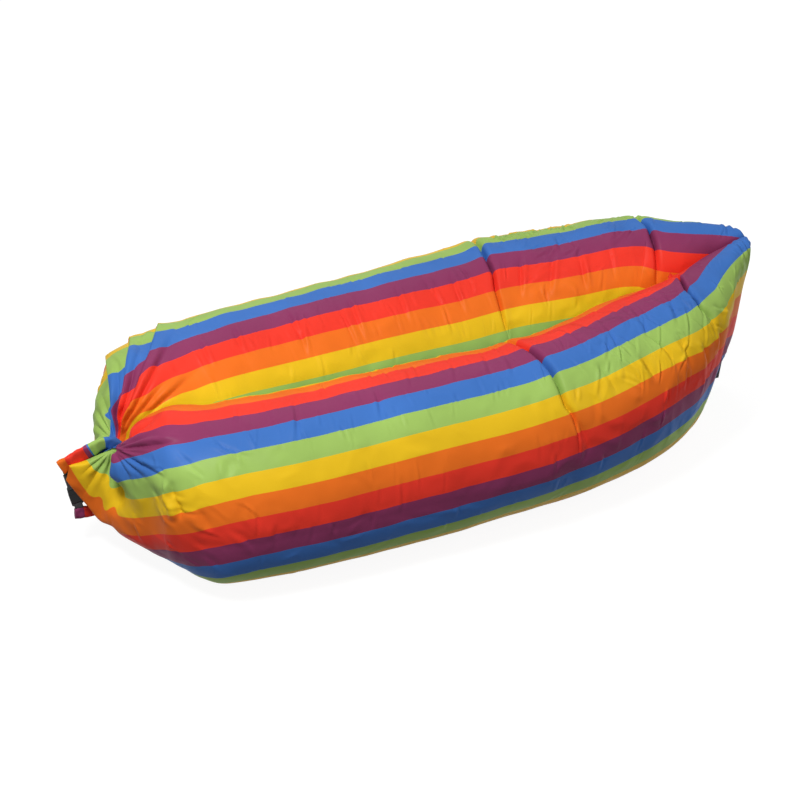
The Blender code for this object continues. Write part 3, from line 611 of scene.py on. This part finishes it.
def black_binding():
    """Polyester binding tape, woven fine: matt black along the seams, with grains 2.5 mm across."""
    settings = {"Roughness": 0.75}
    return two_tone("black_polyester_binding", settings, 400.0, 2.0, "#17171A", "#29292D", (0.3, 0.0003))


def stiffener_plastic():
    """Polypropylene strip, extruded: dull grey, hidden in the rolled mouth."""
    return two_tone("grey_polypropylene_strip", {"Roughness": 0.5}, 90.0, 2.0, "#86888A", "#9A9C9E")


def black_webbing():
    """Polypropylene webbing, woven narrow: black with a ribbed face, a dull sheen, and a painted highlight on
    each rib, its crest coloured lighter.
    """
    made, tree, shader = new_material("black_polypropylene_webbing", {"Roughness": 0.6, "Sheen Weight": 0.15})
    run = add_node(tree, "ShaderNodeAttribute", {"attribute_name": "run"})
    # Ribs 1.6 mm apart, one pick of a 25 mm webbing: run counts metres along the strap
    turn = add_node(
        tree, "ShaderNodeMath", {"operation": "MULTIPLY", 1: 2 * np.pi / RIB_PITCH}, i0=run.outputs["Fac"]
    )
    wave = add_node(tree, "ShaderNodeMath", {"operation": "SINE"}, i0=turn.outputs[0])
    ribs = add_node(tree, "ShaderNodeMapRange", {"From Min": -1.0}, Value=wave.outputs[0])
    # Painted highlight: the base colour runs from black in each rib's groove to lighter grey on its crest
    ramp = add_node(tree, "ShaderNodeValToRGB", (), Fac=ribs.outputs[0])
    ramp.color_ramp.elements[0].color = linear("#121214")
    ramp.color_ramp.elements[1].color = linear("#2E2E32")
    tree.links.new(ramp.outputs["Color"], shader.inputs["Base Color"])
    bump = add_node(tree, "ShaderNodeBump", {"Strength": 0.5, "Distance": 0.0004}, Height=ribs.outputs[0])
    tree.links.new(bump.outputs["Normal"], shader.inputs["Normal"])
    return made


def grid_faces(rows, columns):
    """Quads of a grid whose second axis closes on itself."""
    row, column = np.meshgrid(np.arange(rows - 1), np.arange(columns), indexing="ij")
    ahead = (column + 1) % columns
    here, beyond = row * columns, (row + 1) * columns
    corners = (here + column, here + ahead, beyond + ahead, beyond + column)
    return np.stack(corners, axis=2).reshape(-1, 4)


def strip_faces(start, count):
    """Quads straight across a ring from one side to the other, which close it."""
    j = np.arange(count // 2 - 1)
    return start + np.stack([j, j + 1, count - 2 - j, count - 1 - j], axis=1)


def tube_faces(rows, columns):
    """Quads of a grid closed round its second axis and across both ends."""
    ends = [strip_faces(0, columns), strip_faces((rows - 1) * columns, columns)]
    return np.concatenate([grid_faces(rows, columns), *ends])


def put_in(name, points, faces, material, body, slot, **values):
    """Makes a piece from points and faces with its values at the points, turns its faces outward, and
    lets it ride on a body."""
    mesh = bpy.data.meshes.new(name)
    mesh.from_pydata(points.reshape(-1, 3), [], faces.tolist())
    for key, value in values.items():
        layer = mesh.attributes.new(key, "FLOAT", "POINT")
        layer.data.foreach_set("value", np.asarray(value).ravel().astype(np.float32))
    shape = bmesh.new()
    shape.from_mesh(mesh)
    bmesh.ops.recalc_face_normals(shape, faces=shape.faces)
    if shape.calc_volume(signed=True) < 0:
        bmesh.ops.reverse_faces(shape, faces=shape.faces)
    shape.to_mesh(mesh)
    shape.free()
    mesh.polygons.foreach_set("use_smooth", np.ones(len(mesh.polygons), dtype=bool))
    mesh.materials.append(material)
    piece = bpy.data.objects.new(name, mesh)
    bpy.context.collection.objects.link(piece)
    if body:
        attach(piece, body)
    return piece


def dress_covers(material):
    """The two striped covers, each an inflated closed skin."""
    faces = tube_faces(RINGS, ROUND)
    for word, side in (("near", -1), ("far", 1)):
        points, stripe = cover_grid(side)
        name = word + "_striped_cover"
        piece = put_in(
            name, points, faces, material, "lounger", "striped_taffeta", stripe=stripe,
            slack=np.repeat(cloth_slack(ring_places()), ROUND),
        )
        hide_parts(word + "_cover")


def dress_bags(material):
    """The air bag inside each cover, a fifth smaller, so that no crease of the cover reaches it."""
    places = np.linspace(BAG_FIRST_SHARE, BOW_SHARE - BAG_SHORT_SHARE, 60)
    count = 48
    angle = (np.arange(count) + 0.5) * 2 * np.pi / count
    points = bare_tube(places, angle, 0)
    middle = points.mean(axis=1, keepdims=True)
    points = middle + (points - middle) * BAG_SCALE
    for word, side in (("near", -1), ("far", 1)):
        mirrored = points * np.array([1, side, 1])
        faces = tube_faces(len(places), count)
        piece = put_in(word + "_inner_bag", mirrored, faces, material, "lounger", "bag_film")
        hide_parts(word + "_air_bag")


# The closure, as in the part's source: ends and bends of the two arms (shares of the half length and
# of the tube radius), and the buckle's line
UPPER_ARM_END_SHARES = (-0.9956, 1.22)
UPPER_ARM_BEND_SHARES = (-0.891, 1.4)
LOWER_ARM_BEND_SHARES = (-0.915, 0.5)
LOWER_ARM_END_SHARES = (-0.975, 0.515)
ROLL_REACH_SHARE = 0.1
ROLL_TURNS = 2.25
ROLL_STEPS = 120
ROLL_CORE = 0.0016
BUCKLE_FOOT_SHARES = (-0.9628, 0.636)
BUCKLE_HEAD_SHARES = (-0.9808, 1.13)
EDGE_ROUNDING = 0.0004
BAR_HALF = 0.0023
PLUG_BAR = 0.0610
SOCKET_BAR = 0.0053
UPPER_STRAP_REACH = 0.1105
LOWER_STRAP_REACH = -0.013
# Stripe values along the roll's path, at metres from its upper end and, below 0, from its lower end
ROLL_RUN = (0.0, 0.026, 0.08, 0.09, 0.093, 0.12, 0.14, -0.06, -0.022, 0)
ROLL_STRIPE = (7.5, 7.0, 6.0, 5.1, 3.9, 3.1, 4.6, 6.9, 6.0, 5.3)


def in_plane(shares):
    """A point of the middle plane from its shares."""
    return np.array([shares[0] * HALF_LENGTH, shares[1] * TUBE_RADIUS])


def unit(vector):
    """The vector made one long."""
    return vector / np.linalg.norm(vector)


def roll_path():
    """The roll's centre line in the middle plane: a straight arm, a cubic bend and a straight arm back."""
    top_end, top_bend = in_plane(UPPER_ARM_END_SHARES), in_plane(UPPER_ARM_BEND_SHARES)
    low_bend, low_end = in_plane(LOWER_ARM_BEND_SHARES), in_plane(LOWER_ARM_END_SHARES)
    reach = ROLL_REACH_SHARE * HALF_LENGTH
    pull_top = top_bend + reach * unit(top_bend - top_end)
    pull_low = low_bend + reach * unit(low_bend - low_end)
    t = np.linspace(0, 1, 40)[:, None]
    bend = top_bend * (1 - t) ** 3 + 3 * pull_top * t * (1 - t) ** 2
    bend += 3 * pull_low * t**2 * (1 - t) + low_bend * t**3
    share = np.linspace(0, 1, 40, endpoint=False)[:, None]
    upper = top_end + (top_bend - top_end) * share
    lower = low_end + (low_bend - low_end) * share[:24]
    return np.concatenate([upper, bend, lower[::-1]])


def dress_roll(material):
    """The mouth rolled flat on itself: a spiral of cloth, wider than thick, carried along the path. The
    section narrows by a fifth past the upper arm's middle, its thickness swells and shrinks a little,
    and two slanting sine waves push its surface in and out."""
    path = roll_path()
    ahead = np.gradient(path, axis=0)
    ahead /= np.linalg.norm(ahead, axis=1)[:, None]
    square = np.stack([-ahead[:, 1], ahead[:, 0]], axis=1)
    run = np.concatenate([[0], np.cumsum(np.linalg.norm(np.diff(path, axis=0), axis=1))])
    angle = np.linspace(0, 2 * np.pi * ROLL_TURNS, ROLL_STEPS)
    inner, outer = ROLL_CORE, ROLL_THICKNESS / 2 - ROLL_FABRIC / 2
    height = inner + (outer - inner) * angle / angle[-1]
    core = ROLL_WIDTH / 2 - ROLL_THICKNESS / 2
    spread = core * np.tanh(2.5 * np.cos(angle)) / np.tanh(2.5)
    sides = [
        np.stack([spread + (height + edge) * np.cos(angle), (height + edge) * np.sin(angle)], axis=1)
        for edge in (ROLL_FABRIC / 2, -ROLL_FABRIC / 2)
    ]
    section = np.concatenate([sides[0], sides[1][::-1]])
    section = section - (section.min(axis=0) + section.max(axis=0)) / 2
    section *= np.array([ROLL_WIDTH, ROLL_THICKNESS]) / (section.max(axis=0) - section.min(axis=0))
    both = np.concatenate([angle, angle[::-1]])
    slack = 0.0008 * np.sin(120 * run[:, None] + 2 * both)
    slack = slack + 0.0006 * np.sin(260 * run[:, None] - 3 * both)
    narrow = 1 - 0.2 * smooth_step(0.085, 0.115, run)[:, None]
    wide = section[None, :, 0] * narrow + slack * np.cos(both)
    thick = section[None, :, 1] * (0.94 + 0.03 * np.sin(90 * run[:, None])) + slack * np.sin(both)
    flat = path[:, None, :] + wide[..., None] * square[:, None, :]
    points = np.stack([flat[..., 0], thick, flat[..., 1]], axis=2)
    known = np.array(ROLL_RUN) + np.array([0] * 7 + [1] * 3) * run[-1]
    stripe = np.interp(run, known, ROLL_STRIPE)[:, None] + 0.06 * np.sin(both)
    faces = tube_faces(len(path), len(both))
    piece = put_in(
        "rolled_mouth", points, faces, material, "lounger", "striped_taffeta", stripe=stripe,
        slack=np.full(stripe.size, 0.6),
    )
    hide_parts("mouth_roll")


def buckle_axes():
    """The buckle's foot and its own axes in the world: across, up toward the plug, and through."""
    foot, head = in_plane(BUCKLE_FOOT_SHARES), in_plane(BUCKLE_HEAD_SHARES)
    up = unit(head - foot)
    across = np.array([up[1], 0, -up[0]])
    return np.array([foot[0], 0, foot[1]]), across, np.array([up[0], 0, up[1]]), np.array([0, -1, 0])


def dress_straps(material):
    """The webbing loops: each runs from its arm along one face of the buckle's bar, round it and back.
    The strap is a flat section with round edges carried along that loop, its legs drawn together toward
    the arm, where it is sewn."""
    foot, across, up, through = buckle_axes()
    thick, width = WEBBING_THICKNESS, WEBBING_WIDTH
    for word, bar, far, way in (
        ("upper", PLUG_BAR, UPPER_STRAP_REACH, 1), ("lower", SOCKET_BAR, LOWER_STRAP_REACH, -1),
    ):
        middle = BAR_HALF + thick / 2
        leg = np.linspace(far, bar, 40)
        turn = np.linspace(0, np.pi, 24)[1:-1]
        share = np.linspace(0, 1, 40)
        apart = middle * (1 - 0.35 * smooth_step(0.5, 0.0, share))
        level = np.concatenate([leg, bar - way * middle * np.sin(turn), leg[::-1]])
        depth = np.concatenate([-apart, -middle * np.cos(turn), apart[::-1]])
        line = np.stack([level, depth], axis=1)
        ahead = np.gradient(line, axis=0)
        ahead /= np.linalg.norm(ahead, axis=1)[:, None]
        square = np.stack([-ahead[:, 1], ahead[:, 0]], axis=1)
        run = np.concatenate([[0], np.cumsum(np.linalg.norm(np.diff(line, axis=0), axis=1))])
        round_it = np.linspace(0, 2 * np.pi, 33)[:-1]
        flat = width / 2 * np.tanh(3 * np.cos(round_it)) / np.tanh(3)
        rise = thick / 2 * np.tanh(3 * np.sin(round_it)) / np.tanh(3)
        off = rise[None, :, None] * square[:, None, :]
        place = line[:, None, :] + off
        points = (
            foot + across * flat[None, :, None] + up * place[..., :1] + through * place[..., 1:]
        )
        along = np.broadcast_to(run[:, None], points.shape[:2])
        faces = tube_faces(len(line), len(round_it))
        piece = put_in(word + "_strap", points, faces, material, None, "black_webbing", run=along)
        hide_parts(word + "_webbing")
        if way > 0:
            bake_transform(piece)
        else:
            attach(piece, "lounger")


def dress_tapes(material):
    """The seam tapes in the middle plane: a thin ribbon between the tubes and one between their ends at
    the bow, each with a slow ripple through its thickness and rounded edges."""
    first, last, level = -0.65 * HALF_LENGTH, 0.88 * HALF_LENGTH, 0.985 * TUBE_RADIUS
    run = np.linspace(0, 1, 200)[:, None]
    round_it = np.linspace(0, 2 * np.pi, 17)[:-1]
    wide = np.tanh(3 * np.cos(round_it)) / np.tanh(3)
    through = TAPE_THICKNESS / 2 * np.tanh(3 * np.sin(round_it)) / np.tanh(3)
    x = first + (last - first) * run + 0 * wide
    z = level + 0.01 * wide + 0.0005 * np.sin(60 * run)
    y = through + 0.0001 * np.sin(90 * run)
    centre = np.stack([x, y, z], axis=2)
    lean, reach = RING_SHARES[-1][6], 0.94 * 1.06 * TUBE_RADIUS
    z = 1.08 * TUBE_RADIUS + reach * (2 * run - 1) + 0 * wide
    x = 0.982 * HALF_LENGTH - 0.015 + (z - 1.08 * TUBE_RADIUS) * np.tan(lean) + 0.015 * wide
    bow = np.stack([x, through + 0.0001 * np.sin(50 * run), z], axis=2)
    for name, node, points in (
        ("centre_binding", "centre_seam_tape", centre), ("bow_binding", "bow_seam_tape", bow),
    ):
        faces = tube_faces(len(run), len(round_it))
        piece = put_in(name, points, faces, material, "lounger", "black_binding")
        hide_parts(node)


def dress_buckle(material):
    """The buckle's pieces with their moulded edges rounded: copies of the CAD nodes, merged, with a
    bevel of 0.4 mm."""
    for node, body in (
        ("buckle_socket", "lounger"), ("buckle_plug", "plug"),
        ("left_prong", "left_prong_body"), ("right_prong", "right_prong_body"),
    ):
        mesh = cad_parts[node].data.copy()
        shape = bmesh.new()
        shape.from_mesh(mesh)
        bmesh.ops.remove_doubles(shape, verts=shape.verts, dist=1e-5)
        bmesh.ops.dissolve_limit(
            shape, angle_limit=np.radians(2), verts=shape.verts, edges=shape.edges
        )
        shape.to_mesh(mesh)
        shape.free()
        mesh.materials.clear()
        mesh.materials.append(material)
        piece = bpy.data.objects.new(node + "_moulding", mesh)
        bpy.context.collection.objects.link(piece)
        rounding = piece.modifiers.new("rounding", "BEVEL")
        rounding.width, rounding.segments, rounding.limit_method = EDGE_ROUNDING, 2, "ANGLE"
        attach(piece, body)
        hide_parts(node)


def dress_stiffeners(material):
    """The strips that stiffen the roll stay the CAD's own solids and only take the material, because the
    roll hides them."""
    for name in ("upper_stiffener", "lower_stiffener"):
        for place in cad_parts[name].material_slots:
            place.material = material


# Studio: the floor's half side (m), its colour and how bright the camera sees it, the world's light on the
# object, and the soft boxes: name, place (m), side (m) and power (W)
FLOOR_HALF = 20
FLOOR_HEX = "#6A6A6A"
FLOOR_SEEN = 0.92
WORLD_STRENGTH = 0.26
LAMPS = (
    ("key", (-1.6, -1.1, 3.9), 0.9, 128),
    ("fill", (3.0, -2.0, 2.6), 2.0, 26),
    ("back", (0.6, 2.6, 3.2), 2.0, 22),
)


def white_where_seen(tree):
    """1 where the camera, a mirror or a clear surface looks, 0 for the light that falls on the object."""
    path = add_node(tree, "ShaderNodeLightPath")
    glossy = add_node(
        tree, "ShaderNodeMath", {"operation": "MAXIMUM"},
        i0=path.outputs["Is Camera Ray"], i1=path.outputs["Is Glossy Ray"],
    )
    return add_node(
        tree, "ShaderNodeMath", {"operation": "MAXIMUM"},
        i0=glossy.outputs[0], i1=path.outputs["Is Transmission Ray"],
    ).outputs[0]


def make_stage():
    """A pale floor that the camera sees as white but for the object's soft shadow, and the studio light."""
    mesh = bpy.data.meshes.new("studio_floor")
    half = FLOOR_HALF
    corners = [(-half, -half, 0), (half, -half, 0), (half, half, 0), (-half, half, 0)]
    mesh.from_pydata(corners, [], [(0, 1, 2, 3)])
    floor = bpy.data.objects.new("studio_floor", mesh)
    bpy.context.collection.objects.link(floor)
    settings = {"Roughness": 0.9, "Base Color": linear(FLOOR_HEX)}
    made, tree, shader = new_material("pale_studio_floor", settings)
    glow = add_node(
        tree, "ShaderNodeMath", {"operation": "MULTIPLY", 1: FLOOR_SEEN}, i0=white_where_seen(tree)
    )
    tree.links.new(glow.outputs[0], shader.inputs["Emission Strength"])
    shader.inputs["Emission Color"].default_value = linear("#FFFFFF")
    mesh.materials.append(made)
    world = bpy.data.worlds.new("studio_world")
    bpy.context.scene.world = world
    world.use_nodes = True
    tree = world.node_tree
    background = tree.nodes["Background"]
    background.inputs["Color"].default_value = linear("#FFFFFF")
    seen = white_where_seen(tree)
    strength = add_node(
        tree, "ShaderNodeMapRange", {"To Min": WORLD_STRENGTH, "To Max": 1.0}, Value=seen
    )
    tree.links.new(strength.outputs[0], background.inputs["Strength"])
    for name, place, side, power in LAMPS:
        add_lamp(name, place, side, power)


def add_lamp(name, place, side, power):
    """A square soft box that points at the middle of the object."""
    data = bpy.data.lights.new(name, "AREA")
    data.size = side
    data.energy = power
    lamp = bpy.data.objects.new(name, data)
    lamp.location = place
    lamp.rotation_euler = (Vector((0, 0, 0.2)) - Vector(place)).to_track_quat("-Z", "Y").to_euler()
    bpy.context.collection.objects.link(lamp)


def make_camera():
    """The camera at the photograph's angle, with the shift that its framing needs."""
    data = bpy.data.cameras.new("camera")
    data.sensor_width = SENSOR_MM
    data.lens = FOCAL_PIXELS / PHOTO_SIDE * SENSOR_MM
    data.shift_x = -CENTRE_RIGHT_PIXELS / PHOTO_SIDE
    data.shift_y = CENTRE_DOWN_PIXELS / PHOTO_SIDE
    camera = bpy.data.objects.new("camera", data)
    level = np.cos(ELEVATION)
    back = Vector((np.sin(AZIMUTH) * level, -np.cos(AZIMUTH) * level, np.sin(ELEVATION)))
    camera.location = Vector(CAMERA_AIM) + back * CAMERA_DISTANCE
    camera.rotation_euler = (-back).to_track_quat("-Z", "Y").to_euler()
    bpy.context.collection.objects.link(camera)
    bpy.context.scene.camera = camera


taffeta = striped_taffeta()
webbing, binding = black_webbing(), black_binding()
make_camera()
dress_covers(taffeta)
dress_bags(bag_film())
dress_roll(taffeta)
dress_straps(webbing)
dress_tapes(binding)
dress_buckle(black_acetal())
dress_stiffeners(stiffener_plastic())
make_stage()
bpy.context.scene.view_settings.view_transform = "Standard"
